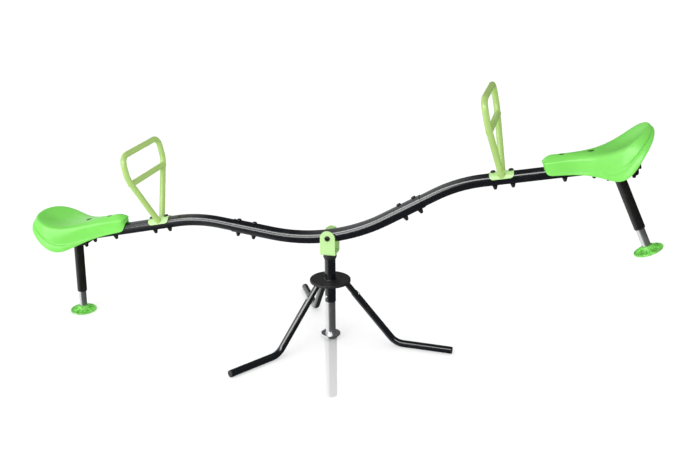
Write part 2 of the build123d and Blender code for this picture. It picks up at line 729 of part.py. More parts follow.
def seat():
    shell = loft([wall_face(s) for s in SEAT_STATIONS], ruled=True)
    shell = shell + end_wall(SEAT_STATIONS[0], 1) + end_wall(SEAT_STATIONS[-1], -1)
    for u in SEAT_US:
        v = outer(u)[0]
        boss = rod(SEAT_BOSS_R, seat_centre(u) - v - SEAT_T / 2)
        shell = shell + beam_spot(u, outer) * boss
    gap = Rot(0, 90, 0) * Cylinder(OUTER_OD / 2 + SLIP, 1000)
    shell = shell - beam_spot(SEAT_NOSE_U, outer) * gap
    arch = Rot(0, 90, 0) * Cylinder(OUTER_OD / 2 + SEAT_ARCH_GAP, 40)
    shell = shell - beam_spot(SEAT_NOSE_U, outer) * arch
    slot = Box(30, OUTER_OD + 2 * SEAT_ARCH_GAP, 60, align=(Align.CENTER, Align.CENTER, Align.MAX))
    shell = shell - beam_spot(SEAT_NOSE_U, outer) * slot
    for u in SEAT_US:
        shell = shell - bolt_hole(u, outer, 300)
        top = seat_head_height(u)
        shell = shell - beam_spot(u, outer) * Pos(0, 0, top) * rod(SEAT_BOLT_RECESS_R, 40)
    return max(shell.solids(), key=lambda s: s.volume)


# ---------------------------------------------------------------- bumpers

def bracket_web_height():
    """Underside of the bracket's web below the beam axis."""
    return OUTER_OD / 2 + BRACKET_DEPTH + BRACKET_T


def bumper_bracket():
    """Channel bolted under the beam, its walls either side of the tube."""
    length = BRACKET_END - BRACKET_START
    half = OUTER_OD / 2 + SLIP
    hung = (Align.MIN, Align.CENTER, Align.MAX)
    outside = Box(length, 2 * (half + BRACKET_T), bracket_web_height(), align=hung)
    inside = Box(length + 2, 2 * half, bracket_web_height() - BRACKET_T, align=hung)
    outside = fillet(outside.edges().filter_by(Axis.Y).group_by(Axis.Z)[0], BRACKET_CORNER)
    channel = outside - Pos(-1, 0, 0) * inside
    channel = beam_spot(BRACKET_START, outer) * channel
    for u in BRACKET_US:
        channel = channel - bolt_hole(u, outer)
    return channel


def bumper_tube():
    radius = BUMPER_OD / 2
    tube = bumper_spot(0) * ring(radius, radius - BUMPER_WALL, BUMPER_END)
    above = Box(BUMPER_END, BUMPER_END, BUMPER_END, align=(Align.CENTER, Align.CENTER, Align.MIN))
    return tube - beam_spot(BUMPER_U, outer) * Pos(0, 0, -bracket_web_height()) * above


def spring_plug():
    plug = rod(BUMPER_OD / 2 - BUMPER_WALL - SLIP, BUMPER_PLUG_T)
    return bumper_spot(BUMPER_PLUG - BUMPER_PLUG_T) * plug


def bumper_guide():
    """Bush in the mouth of a bumper tube, with a lip under the tube's end."""
    sleeve = Pos(0, 0, -GUIDE_LENGTH) * rod(BUMPER_OD / 2 - BUMPER_WALL - SLIP, GUIDE_LENGTH)
    lip = rod(BUMPER_OD / 2, GUIDE_LIP)
    lip = fillet(lip.edges().group_by(Axis.Z)[-1], GUIDE_LIP / 2)
    through = GUIDE_LENGTH + GUIDE_LIP + 2
    bore = Pos(0, 0, -GUIDE_LENGTH - 1) * rod(PLUNGER_OD / 2 + RUNNING, through)
    return bumper_spot(BUMPER_END) * (sleeve + lip - bore)


def piston_end():
    """Distance to the lower end of the piston, just above the guide."""
    return BUMPER_END - GUIDE_LENGTH - FREE


def piston():
    """Cap on a plunger's top that the spring bears on and the guide holds in."""
    blank = rod(BUMPER_OD / 2 - BUMPER_WALL - RUNNING, PISTON_LENGTH)
    pocket = Pos(0, 0, PISTON_WEB) * rod(PLUNGER_OD / 2 + SLIP, PISTON_LENGTH)
    return bumper_spot(piston_end() - PISTON_LENGTH) * (blank - pocket)


def plunger_tube():
    start = piston_end() - PISTON_LENGTH + PISTON_WEB
    length = FOOT_END - FOOT_FLOOR - start
    return bumper_spot(start) * ring(PLUNGER_OD / 2, PLUNGER_OD / 2 - PLUNGER_WALL, length)


def bumper_spring():
    """Coil between the plug and the piston, with FREE at each end."""
    top = BUMPER_PLUG + FREE + SPRING_WIRE / 2
    bottom = piston_end() - PISTON_LENGTH - FREE - SPRING_WIRE / 2
    coil = Helix(pitch=(bottom - top) / SPRING_TURNS, height=bottom - top, radius=SPRING_RADIUS)
    section = Plane(origin=coil @ 0, z_dir=coil % 0) * Circle(SPRING_WIRE / 2)
    return bumper_spot(top) * sweep(section, path=coil, is_frenet=True)


def foot():
    """Round foot, flat on the ground when its end is down; its socket follows the plunger."""
    lean = BUMPER_RAKE - TILT
    profile = Polyline(
        (0, 0),
        (FOOT_R - FOOT_CHAMFER, 0),
        (FOOT_R, FOOT_CHAMFER),
        (FOOT_R, FOOT_RIM),
        (FOOT_COLLAR_R + FOOT_CHAMFER, FOOT_CROWN),
        (FOOT_COLLAR_R, FOOT_CROWN + FOOT_CHAMFER),
        (FOOT_COLLAR_R - 1, FOOT_COLLAR_H),
        (0, FOOT_COLLAR_H),
        close=True,
    )
    disc = revolve(Plane.XZ * make_face(profile), Axis.Z)
    # stand it on the ground plane, then cut the socket along the bumper's axis
    disc = bumper_spot(FOOT_END) * Rot(0, lean, 0) * Rot(180, 0, 0) * disc
    above = 3 * FOOT_COLLAR_H
    socket = bumper_spot(FOOT_END - above) * rod(PLUNGER_OD / 2 + SLIP, above - FOOT_FLOOR)
    return disc - socket


# ---------------------------------------------------------------- export

def build():
    parts = {
        "ground_stake": ground_stake(),
        "stake_flange": stake_flange(),
        "mast_tube": mast_tube(),
        "post_sleeve": post_sleeve(),
        "post_screw": post_screw(),
        "hub_plate": hub_plate(),
        "leg_screws": on_each_leg(leg_screw()),
        "leg_end_plugs": on_each_leg(leg_end_plug()),
        "upper_bush": upper_bush(),
        "lower_bush": lower_bush(),
        "clevis": clevis(),
        "spindle": spindle(),
        "thrust_washer": thrust_washer(),
        "spindle_washer": spindle_washer(),
        "spindle_bolt": spindle_bolt(),
        "pivot_bolt": pivot_bolt(),
        "pivot_nut": pivot_nut(),
    }
    for name, stub, leg in zip(LEG_NAMES, on_each_leg(leg_stub()), on_each_leg(leg_tube())):
        parts["leg_stub_" + name] = stub
        parts["leg_" + name] = leg

    on_beam = {
        "beam_centre_tube": beam_centre_tube(),
        "pivot_cross_tube": pivot_cross_tube(),
        "pivot_bushes": [pivot_bush(1), pivot_bush(-1)],
        "beam_end_caps": both_ends(beam_end_cap()),
        "spring_plugs": both_ends(spring_plug()),
        "bumper_guides": both_ends(bumper_guide()),
    }
    bolts, nuts, caps = fasteners()
    on_beam.update(bolts)
    on_beam["lock_nuts"] = nuts
    on_beam["nut_caps"] = caps
    paired = {
        "outer_tube": outer_tube(),
        "handle_saddle": handle_saddle(),
        "handle_loop": handle_loop(),
        "handle_crossbar": handle_crossbar(),
        "seat": seat(),
        "bumper_bracket": bumper_bracket(),
        "bumper_tube": bumper_tube(),
        "plunger_tube": plunger_tube(),
        "piston": piston(),
        "bumper_spring": bumper_spring(),
        "foot": foot(),
    }
    for name, piece in paired.items():
        on_beam[name + "_right"] = piece
        on_beam[name + "_left"] = other_end(piece)
    for name, piece in on_beam.items():
        parts[name] = [tipped(p) for p in piece] if isinstance(piece, list) else tipped(piece)
    return parts


def solids_of(piece):
    """Every solid of a piece or of a list of pieces."""
    pieces = piece if isinstance(piece, list) else [piece]
    return [solid for p in pieces for solid in p.solids()]


os.makedirs("parts", exist_ok=True)
for node, piece in build().items():
    solids = solids_of(piece)
    export_step(solids[0] if len(solids) == 1 else Compound(children=solids), f"parts/{node}.step")
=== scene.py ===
import json
from math import cos, pi, radians, sin, tan

import bmesh
import bpy
from mathutils import Matrix, Vector


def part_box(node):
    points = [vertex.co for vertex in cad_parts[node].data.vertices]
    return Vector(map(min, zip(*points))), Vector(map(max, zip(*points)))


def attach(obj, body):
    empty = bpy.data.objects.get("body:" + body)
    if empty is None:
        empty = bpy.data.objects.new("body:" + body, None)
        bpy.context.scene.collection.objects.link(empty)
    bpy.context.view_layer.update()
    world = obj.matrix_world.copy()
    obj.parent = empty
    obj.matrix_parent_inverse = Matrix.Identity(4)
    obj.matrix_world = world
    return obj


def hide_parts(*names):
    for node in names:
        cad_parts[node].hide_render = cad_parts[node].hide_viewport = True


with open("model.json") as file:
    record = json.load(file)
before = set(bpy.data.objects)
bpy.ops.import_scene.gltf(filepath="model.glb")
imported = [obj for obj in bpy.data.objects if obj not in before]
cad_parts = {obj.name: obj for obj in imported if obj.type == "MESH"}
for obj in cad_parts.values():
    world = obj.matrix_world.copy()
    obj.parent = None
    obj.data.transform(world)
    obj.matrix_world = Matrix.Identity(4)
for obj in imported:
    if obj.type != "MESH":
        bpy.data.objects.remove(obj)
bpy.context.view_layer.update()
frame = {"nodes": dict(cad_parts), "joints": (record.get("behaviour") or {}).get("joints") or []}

SCENE = bpy.context.scene
NODES = frame["nodes"]
ENDS = {"left": -1, "right": 1}

# ---- the beam, from the frame ----
TILT_JOINT = next(j for j in frame["joints"] if j["name"] == "tilt")
PIVOT = Vector(TILT_JOINT["pos_m"])
TILT = radians(TILT_JOINT["range_deg"][1] / 2)      # the beam rests at one end of its travel


def on_the_beam(side):
    """From the level beam's +X half, in metres from the pivot, to the resting beam's end."""
    return (
        Matrix.Translation(PIVOT) @ Matrix.Rotation(-TILT, 4, "Y") @ Matrix.Diagonal((side, 1, 1, 1))
    )


# the beam's outer run, level: its shoulder, and how it falls away
SHOULDER_U, SHOULDER_V = 0.430, 0.11441
OUTER_FALL = radians(0.9)
OUTER_R = 0.019


def beam_axis(u):
    """Height of the outer run's axis above the pivot."""
    return SHOULDER_V - (u - SHOULDER_U) * tan(OUTER_FALL)


# ---- seat bolts, each in a well in the seat's top ----
SEAT_BOLTS = ((0.741, 0.1620), (0.823, 0.1578))      # along the beam, and the seat's top there
WELL_R = 0.0092
WELL_DEPTH = 0.0070
WELL_TOP = -0.0014                                  # its rim, under the seat's top
WELL_EDGE = 0.0001
BOSS_R = 0.0110
SHANK_HOLE_R = 0.0031


def seat_bolt_frame(side, bolt):
    """Local axes at a seat bolt, z up its shank, from the top of the seat."""
    square = Matrix.Rotation(OUTER_FALL, 4, "Y")
    return on_the_beam(side) @ Matrix.Translation((bolt[0], 0, bolt[1])) @ square


# ------------------------------------------------------------------ shader maths

class Wire:
    """A node socket, or a number, that takes part in Python sums."""

    def __init__(self, tree, value):
        self.tree = tree
        self.value = value

    def _math(self, operation, *others):
        return self.tree.node("ShaderNodeMath", {"operation": operation}, (self, *others))

    def __add__(self, other):
        return self._math("ADD", other)

    def __radd__(self, other):
        return self._math("ADD", other)

    def __sub__(self, other):
        return self._math("SUBTRACT", other)

    def __mul__(self, other):
        return self._math("MULTIPLY", other)

    def __rmul__(self, other):
        return self._math("MULTIPLY", other)

    def least(self, other):
        return self._math("MINIMUM", other)

    def over(self, low, high):
        """0 below low, 1 above high, smooth between."""
        settings = {"interpolation_type": "SMOOTHSTEP"}
        ends = {"Value": self, "From Min": low, "From Max": high}
        return self.tree.node("ShaderNodeMapRange", settings, ends)


class Finish:
    """One material's node tree, ending in a Principled shader."""

    def __init__(self, name, colour, roughness, metallic=0.0):
        self.material = bpy.data.materials.new(name)
        self.material.use_nodes = True
        self.material.diffuse_color = (*colour, 1)
        self.tree = self.material.node_tree
        self.shader = self.tree.nodes["Principled BSDF"]
        self.set("Base Color", (*colour, 1))
        self.set("Roughness", roughness)
        self.set("Metallic", metallic)
        self.bump_count = 0

    def node(self, kind, settings=None, inputs=(), output=0):
        made = self.tree.nodes.new(kind)
        for key, value in (settings or {}).items():
            setattr(made, key, value)
        pairs = inputs.items() if isinstance(inputs, dict) else enumerate(inputs)
        for key, value in pairs:
            self._feed(made.inputs[key], value)
        return Wire(self, made.outputs[output])

    def _feed(self, socket, value):
        if isinstance(value, Wire):
            self.tree.links.new(value.value, socket)
        else:
            socket.default_value = value

    def set(self, name, value):
        self._feed(self.shader.inputs[name], value)

    def place(self, scale=(1, 1, 1)):
        """Object coordinates in metres, stretched."""
        where = self.node("ShaderNodeTexCoord", output=3)
        settings = {"vector_type": "POINT"}
        return self.node("ShaderNodeMapping", settings, {"Vector": where, "Scale": scale})

    def noise(self, size, detail=2.0, roughness=0.5, where=None):
        """Smooth noise with features about `size` metres across."""
        inputs = {
            "Vector": where or self.place(), "Scale": 1.0 / size, "Detail": detail,
            "Roughness": roughness,
        }
        return self.node("ShaderNodeTexNoise", None, inputs)

    def cell_colours(self, size):
        """A random colour in each cell about `size` metres across."""
        inputs = {"Vector": self.place(), "Scale": 1.0 / size}
        return self.node("ShaderNodeTexVoronoi", None, inputs, 1)

    def from_line(self, point, direction):
        """Distance from a line through a point."""
        where = self.node("ShaderNodeTexCoord", output=3)
        away = self.node("ShaderNodeVectorMath", {"operation": "SUBTRACT"}, (where, point))
        square = self.node("ShaderNodeVectorMath", {"operation": "CROSS_PRODUCT"}, (away, direction))
        return self.node("ShaderNodeVectorMath", {"operation": "LENGTH"}, (square,), 1)

    def mix(self, factor, first, second):
        """Colour from first at 0 to second at 1; either may be a wire."""
        pair = [c if isinstance(c, Wire) else (*c, 1) for c in (first, second)]
        inputs = {0: factor, 6: pair[0], 7: pair[1]}
        return self.node("ShaderNodeMix", {"data_type": "RGBA"}, inputs, 2)

    def tone(self, colour, factor, low, high):
        """A colour whose brightness goes from low to high with the factor."""
        dark = tuple(c * low for c in colour)
        light = tuple(c * high for c in colour)
        return self.mix(factor, dark, light)

    def bump(self, height, distance, strength=1.0):
        """Relief that many metres deep, laid over any relief already there."""
        inputs = {"Height": height, "Distance": distance, "Strength": strength}
        if self.bump_count:
            inputs["Normal"] = self.relief
        self.relief = self.node("ShaderNodeBump", None, inputs)
        self.bump_count += 1
        self.set("Normal", self.relief)


# ------------------------------------------------------------------ finishes

def black_gloss_coat():
    """Glossy black powder coat: faint orange peel, a little dust and rubbed patches."""
    f = Finish("black_gloss_coat", (0.012, 0.0135, 0.018), 0.22)
    peel = f.noise(0.0035, 2.0)
    dust = f.noise(0.035, 4.0, 0.6).over(0.5, 0.78)
    f.set("Base Color", f.mix(dust * 0.35, (0.0045, 0.0055, 0.0075), (0.018, 0.018, 0.019)))
    f.set("Roughness", 0.17 + dust * 0.14)
    f.set("Specular IOR Level", 0.6)
    f.set("Coat Weight", 0.35)
    f.set("Coat Roughness", 0.08)
    f.bump(peel, 0.00010, 0.5)
    return f.material


def black_matt_coat():
    """Black powder coat with a satin, slightly pebbled skin."""
    f = Finish("black_matt_coat", (0.012, 0.011, 0.010), 0.42)
    peel = f.noise(0.0022, 3.0)
    dust = f.noise(0.028, 4.0, 0.6).over(0.45, 0.8)
    f.set("Base Color", f.mix(dust * 0.4, (0.006, 0.0054, 0.005), (0.018, 0.016, 0.014)))
    f.set("Roughness", 0.36 + dust * 0.16)
    f.bump(peel, 0.00016, 0.6)
    return f.material


def black_moulding():
    """Matt black moulded plastic with a spark-eroded grain."""
    f = Finish("black_moulding", (0.014, 0.014, 0.014), 0.55)
    grain = f.noise(0.0009, 2.0)
    wear = f.noise(0.012, 4.0, 0.6).over(0.45, 0.75)
    f.set("Base Color", f.mix(wear * 0.5, (0.011, 0.011, 0.0115), (0.028, 0.028, 0.027)))
    f.set("Roughness", 0.48 + wear * 0.14)
    f.bump(grain, 0.00008, 0.6)
    return f.material


def green_moulding(name, wells=False):
    """Bright green moulded plastic: soft grain, faint flow marks and scuffs, holes at the bolts."""
    colour = (0.20, 0.72, 0.10)
    f = Finish(name, colour, 0.36)
    if wells:
        frames = [seat_bolt_frame(side, bolt) for side in ENDS.values() for bolt in SEAT_BOLTS]
        shanks = [f.from_line(tuple(m.translation), tuple(m.col[2].xyz)) for m in frames]
        nearest = shanks[0]
        for shank in shanks[1:]:
            nearest = nearest.least(shank)
        f.set("Alpha", nearest.over(WELL_R - WELL_EDGE, WELL_R + WELL_EDGE))
    clouds = f.noise(0.055, 3.0, 0.55)
    grain = f.noise(0.0013, 3.0, 0.6)
    scuffs = f.noise(0.02, 5.0, 0.7, f.place(scale=(1, 0.12, 1))).over(0.62, 0.8)
    f.set("Base Color", f.mix(scuffs * 0.18, f.tone(colour, clouds, 0.92, 1.06), (0.36, 0.82, 0.25)))
    f.set("Roughness", 0.33 + clouds * 0.06 + scuffs * 0.16)
    f.set("Specular IOR Level", 0.42)
    f.bump(grain, 0.00009, 0.55)
    f.bump(clouds, 0.0005, 0.2)
    return f.material


def green_foot_moulding():
    """The same green on a scuffed foot, with grit in the surface."""
    colour = (0.22, 0.72, 0.11)
    f = Finish("green_foot_moulding", colour, 0.42)
    clouds = f.noise(0.014, 4.0, 0.6)
    scuffs = f.noise(0.006, 5.0, 0.7).over(0.56, 0.74)
    tone = f.tone(colour, clouds.over(0.35, 0.65), 0.66, 1.15)
    f.set("Base Color", f.mix(scuffs * 0.4, tone, (0.16, 0.50, 0.12)))
    f.set("Roughness", 0.38 + scuffs * 0.2)
    f.bump(clouds, 0.0006, 0.4)
    f.bump(f.noise(0.0015, 3.0), 0.0001, 0.5)
    return f.material


def lime_coat(name, colour):
    """Pale lime powder coat on the handles and the head, with orange peel."""
    f = Finish(name, colour, 0.34)
    clouds = f.noise(0.04, 3.0)
    peel = f.noise(0.0028, 2.0)
    rubs = f.noise(0.011, 5.0, 0.7).over(0.66, 0.8)
    f.set("Base Color", f.mix(rubs * 0.22, f.tone(colour, clouds, 0.93, 1.05), (0.60, 0.74, 0.44)))
    f.set("Roughness", 0.30 + rubs * 0.18)
    f.bump(peel, 0.00012, 0.55)
    return f.material


def galvanised(name="bright_galvanised", colour=(0.74, 0.75, 0.76), roughness=0.30):
    """Zinc-coated steel: crystal flakes, fine draw lines along the tube and dull spots."""
    f = Finish(name, colour, roughness, 1.0)
    flakes = f.cell_colours(0.007)
    flake_tone = f.node("ShaderNodeSeparateColor", None, {0: flakes})
    lines = f.noise(0.0011, 2.0, where=f.place(scale=(1, 1, 0.03)))
    dull = f.noise(0.02, 5.0, 0.65).over(0.5, 0.75)
    tone = f.tone(colour, flake_tone * 0.5 + lines * 0.5, 0.92, 1.05)
    f.set("Base Color", f.mix(dull * 0.2, tone, (0.56, 0.57, 0.58)))
    f.set("Roughness", roughness + dull * 0.10 + flake_tone * 0.03)
    f.bump(lines, 0.00001, 0.5)
    return f.material


def zinc_plate():
    """Bright zinc plating on small fasteners, a little brushed and stained."""
    colour = (0.66, 0.67, 0.68)
    f = Finish("zinc_plate", colour, 0.24, 1.0)
    stain = f.noise(0.006, 4.0, 0.6)
    f.set("Base Color", f.mix(stain.over(0.45, 0.7), colour, (0.52, 0.50, 0.46)))
    f.set("Roughness", 0.2 + stain * 0.16)
    f.bump(f.noise(0.0006, 2.0), 0.00002, 0.7)
    return f.material


def black_screw_coat():
    """Black oxide on screw heads and bolts."""
    f = Finish("black_screw_coat", (0.022, 0.022, 0.024), 0.34, 0.4)
    wear = f.noise(0.0045, 4.0, 0.6).over(0.5, 0.72)
    f.set("Base Color", f.mix(wear * 0.4, (0.018, 0.018, 0.02), (0.07, 0.068, 0.065)))
    f.set("Roughness", 0.28 + wear * 0.16)
    f.bump(f.noise(0.0008, 2.0), 0.00003, 0.7)
    return f.material


def spring_steel():
    """Oiled spring wire with faint heat colour."""
    f = Finish("spring_steel", (0.2, 0.2, 0.205), 0.34, 1.0)
    heat = f.noise(0.012, 3.0)
    f.set("Base Color", f.mix(heat.over(0.42, 0.65), (0.17, 0.17, 0.18), (0.27, 0.23, 0.19)))
    f.set("Roughness", 0.28 + heat * 0.15)
    f.bump(f.noise(0.0006, 2.0), 0.00002, 0.7)
    return f.material


def white_nylon():
    """Milky nylon bushes and washers, marked by running."""
    colour = (0.78, 0.77, 0.72)
    f = Finish("white_nylon", colour, 0.4)
    marks = f.noise(0.008, 4.0, 0.6)
    f.set("Base Color", f.tone(colour, marks, 0.84, 1.05))
    f.set("Roughness", 0.36 + marks * 0.12)
    f.bump(f.noise(0.001, 2.0), 0.00004, 0.5)
    return f.material


GLOSS_BLACK = black_gloss_coat()
MATT_BLACK = black_matt_coat()
BLACK_PLASTIC = black_moulding()
GREEN = green_moulding("green_moulding")
SEAT_GREEN = green_moulding("green_seat_moulding", wells=True)
FOOT_GREEN = green_foot_moulding()
LIME = lime_coat("lime_coat", (0.50, 0.78, 0.32))
# the handles take a darker, more olive copy of the same lime coat: painted shade standing in for the
# shadow on the handles
SHADED_HANDLE_LIME = lime_coat("handle_lime_coat_painted_shade", (0.40, 0.60, 0.17))
GALVANISED = galvanised()
ZINC = zinc_plate()
SCREW_BLACK = black_screw_coat()
SPRING = spring_steel()
NYLON = white_nylon()

# what each CAD node is finished with, by the start of its name
NODE_FINISHES = {
    "ground_stake": GALVANISED,
    "stake_flange": GALVANISED,
    "mast_tube": GALVANISED,
    "post_sleeve": GLOSS_BLACK,
    "post_screw": ZINC,
    "hub_plate": BLACK_PLASTIC,
    "leg_screws": ZINC,
    "leg_end_plugs": BLACK_PLASTIC,
    "leg_": GLOSS_BLACK,
    "upper_bush": BLACK_PLASTIC,
    "lower_bush": NYLON,
    "clevis": LIME,
    "spindle": ZINC,
    "thrust_washer": NYLON,
    "pivot_bolt": SCREW_BLACK,
    "pivot_nut": ZINC,
    "pivot_cross_tube": ZINC,
    "pivot_bushes": NYLON,
    "beam_centre_tube": GLOSS_BLACK,
    "outer_tube": GLOSS_BLACK,
    "lock_nuts": ZINC,
    "nut_caps": BLACK_PLASTIC,
    "splice_bolts": SCREW_BLACK,
    "handle_bolts": SCREW_BLACK,
    "seat_bolts": SCREW_BLACK,
    "bracket_bolts": SCREW_BLACK,
    # handle loops and their welds get the darker lime copy, which is painted shade
    "handle_saddle": LIME,
    "handle_": SHADED_HANDLE_LIME,
    "seat_": GREEN,
    "beam_end_caps": BLACK_PLASTIC,
    "bumper_bracket": MATT_BLACK,
    "bumper_tube": MATT_BLACK,
    "bumper_guides": BLACK_PLASTIC,
    "spring_plugs": NYLON,
    "bumper_spring": SPRING,
    "plunger_tube": GALVANISED,
    "piston": NYLON,
    "foot_": FOOT_GREEN,
}


def finish_nodes():
    """Give each carried-over CAD node its finish."""
    for name, piece in NODES.items():
        key = max((k for k in NODE_FINISHES if name.startswith(k)), key=len)
        piece.data.materials.clear()
        piece.data.materials.append(NODE_FINISHES[key])


finish_nodes()


# ------------------------------------------------------------------ making pieces

def piece_from(bm, name, body, material, smooth_below=35, place=None):
    """Turn a bmesh into an object that rides on a body."""
    if place is not None:
        bmesh.ops.transform(bm, matrix=place, verts=bm.verts)
    bmesh.ops.recalc_face_normals(bm, faces=bm.faces)
    mesh = bpy.data.meshes.new(name)
    bm.to_mesh(mesh)
    bm.free()
    made = bpy.data.objects.new(name, mesh)
    SCENE.collection.objects.link(made)
    mesh.materials.append(material)
    smooth(made, smooth_below)
    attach(made, body)
    return made


def smooth(piece, below):
    """Shade smooth across edges that turn less than `below` degrees."""
    mesh = piece.data
    mesh.shade_smooth()
    mesh.set_sharp_from_angle(angle=radians(below))


def apply_modifiers(piece):
    """Bake the piece's modifiers into its mesh."""
    graph = bpy.context.evaluated_depsgraph_get()
    baked = bpy.data.meshes.new_from_object(piece.evaluated_get(graph))
    piece.modifiers.clear()
    piece.data = baked


def add_to(bm, other, place):
    """Copy another bmesh into this one, moved, and free it."""
    copies = {v: bm.verts.new(place @ v.co) for v in other.verts}
    for face in other.faces:
        bm.faces.new([copies[v] for v in face.verts])
    other.free()


def spun(bm, outline, steps):
    """Closed or axis-to-axis outline of (radius, height) points spun round Z into a solid."""
    verts = [bm.verts.new((r, 0, z)) for r, z in outline]
    edges = [bm.edges.new(pair) for pair in zip(verts, verts[1:])]
    bmesh.ops.spin(
        bm, geom=verts + edges, cent=(0, 0, 0), axis=(0, 0, 1), angle=2 * pi, steps=steps,
        use_merge=True,
    )
    bmesh.ops.remove_doubles(bm, verts=bm.verts, dist=1e-6)


# ------------------------------------------------------------------ seats

# Half of the seat from the middle of its nose round to the middle of its back, in millimetres:
# hem (distance from nose, half width, height), crest of the top edge, width of the lip along the
# hem, where the side's shoulder line lies from lip to crest, and the spine's distance that the
# pan closes on.
SEAT_NOSE = 0.687
SEAT_ROUND = (
    ((-1, 0, 133), (-2, 0, 150), 4, 0.80, 10),
    ((0, 12, 129), (-1, 10, 149.5), 5, 0.80, 14),
    ((3, 20, 120), (1, 18, 148.5), 6, 0.80, 20),
    ((8, 22.5, 111), (6, 23.5, 148), 6, 0.80, 26),
    ((14, 26.5, 107), (13, 26.5, 148), 6, 0.80, 34),
    ((28, 29, 106), (28, 28, 148.5), 6, 0.80, 46),
    ((50, 30, 105), (50, 29, 149), 6, 0.80, 62),
    ((85, 33, 102.5), (84, 32, 149.5), 6, 0.80, 88),
    ((120, 45, 99), (118, 40, 150), 8, 0.78, 116),
    ((155, 68, 94), (149, 53, 152), 12, 0.66, 140),
    ((186, 95, 86), (180, 71, 157), 19, 0.48, 162),
    ((214, 117, 87), (208, 86, 166), 26, 0.30, 182),
    ((243, 125, 106), (235, 95, 178), 29, 0.18, 200),
    ((268, 118, 136), (256, 89, 191), 26, 0.14, 216),
    ((290, 101, 162), (276, 74, 203), 22, 0.14, 230),
    ((304, 75, 180), (290, 51, 209), 18, 0.16, 242),
    ((311, 39, 190), (297, 27, 212), 15, 0.20, 250),
    ((313, 0, 193), (299, 0, 212), 14, 0.20, 254),
)
# height of the pan's middle line at distances from the nose
SEAT_SPINE = (
    (-10, 150), (10, 159), (26, 163), (50, 164), (88, 163), (116, 161), (150, 157.5),
    (180, 154.5), (205, 155), (225, 160), (244, 171), (262, 187), (280, 202),
)
PAN_SHARES = (0.86, 0.66, 0.43, 0.2, 0.0)
PAN_SMOOTHING = 10
PAN_START, PAN_BACK = 30, 8               # smoothed from here, to this far short of the back, in mm
PAN_REACH, PAN_LOWEST = 0.93, 0.145
PAN_DISH = 1.9                            # how late the pan turns up towards its edge
SEAT_WALL = 0.0035
LIP_SWELL = 5.0                           # of a lip this wide, both in millimetres
WIDE_LIP = 18.0
SHOULDER_SWELL = 3.0


def spine_height(distance):
    """Height of the pan's middle line at a distance from the nose."""
    for (d0, h0), (d1, h1) in zip(SEAT_SPINE, SEAT_SPINE[1:]):
        if distance <= d1:
            return h0 + (h1 - h0) * (distance - d0) / (d1 - d0)
    return SEAT_SPINE[-1][1]


def seat_column(hem, crest, lip_width, shoulder, spine):
    """Points of one station from the hem, over lip, shoulder and crest, to the spine."""
    hem, crest = Vector(hem), Vector(crest)
    side = crest - hem
    lip = lip_width / side.length
    swell = LIP_SWELL * min(lip_width / WIDE_LIP, 1) ** 2
    outward = Vector((hem.x - spine, hem.y, 0)).normalized()
    middle = Vector((spine, 0, spine_height(spine)))
    column = [hem]
    for share, out in ((0.2, 0.75), (0.8, 1.0), (0.97, 0.45), (1.03, -0.2)):
        column.append(hem + side * lip * share + outward * swell * out)
    start, rest = hem + side * lip, side * (1 - lip)
    for share, out in (
        (shoulder * 0.55, 0.15), (shoulder, 1.0), (shoulder + (1 - shoulder) * 0.4, 1.1),
        (shoulder + (1 - shoulder) * 0.78, 0.6), (1, 0),
    ):
        column.append(start + rest * share + outward * SHOULDER_SWELL * out)
    for share in PAN_SHARES:
        point = middle.lerp(crest, share)
        point.z = middle.z + (crest.z - middle.z) * share ** PAN_DISH
        column.append(point)
    return column


def seat_shell(bm):
    """Half a grid bent to the seat's shape and mirrored."""
    columns = [seat_column(*row) for row in SEAT_ROUND]
    across, along = len(columns), len(columns[0])
    grid = bmesh.ops.create_grid(bm, x_segments=across - 1, y_segments=along - 1, size=1)
    for vert in grid["verts"]:
        column = round((vert.co.x + 1) / 2 * (across - 1))
        row = round((vert.co.y + 1) / 2 * (along - 1))
        point = columns[column][row]
        vert.co = (SEAT_NOSE + point.x / 1000, point.y / 1000, point.z / 1000)
    bmesh.ops.mirror(bm, geom=bm.verts[:] + bm.edges[:] + bm.faces[:], axis="Y", merge_dist=1e-5)
    bmesh.ops.remove_doubles(bm, verts=bm.verts, dist=1e-5)
    pan = [v for v in bm.verts if in_the_pan(v.co)]
    for _ in range(PAN_SMOOTHING):
        bmesh.ops.smooth_vert(
            bm, verts=pan, factor=0.5, use_axis_x=True, use_axis_y=True, use_axis_z=True
        )


def in_the_pan(point):
    """Whether a point is well inside the seat's top edge."""
    distance = (point.x - SEAT_NOSE) * 1000
    crests = [row[1] for row in SEAT_ROUND]
    if not PAN_START < distance < crests[-1][0] - PAN_BACK or point.z < PAN_LOWEST:
        return False
    for near, far in zip(crests, crests[1:]):
        if near[0] <= distance <= far[0]:
            share = (distance - near[0]) / (far[0] - near[0] + 1e-9)
            half_width = near[1] + (far[1] - near[1]) * share
            return abs(point.y) * 1000 < PAN_REACH * half_width - 1
    return False


def make_seat(end, side):
    """Seat shell, thickened and rounded off."""
    bm = bmesh.new()
    seat_shell(bm)
    seat = piece_from(
        bm, "seat_shell_" + end, "beam", SEAT_GREEN, 180, on_the_beam(side)
    )
    wall = seat.modifiers.new("wall", "SOLIDIFY")
    wall.thickness = SEAT_WALL
    wall.offset = -1
    round_off = seat.modifiers.new("round", "SUBSURF")
    round_off.levels = round_off.render_levels = 2
    apply_modifiers(seat)
    smooth(seat, 50)
    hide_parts("seat_" + end)


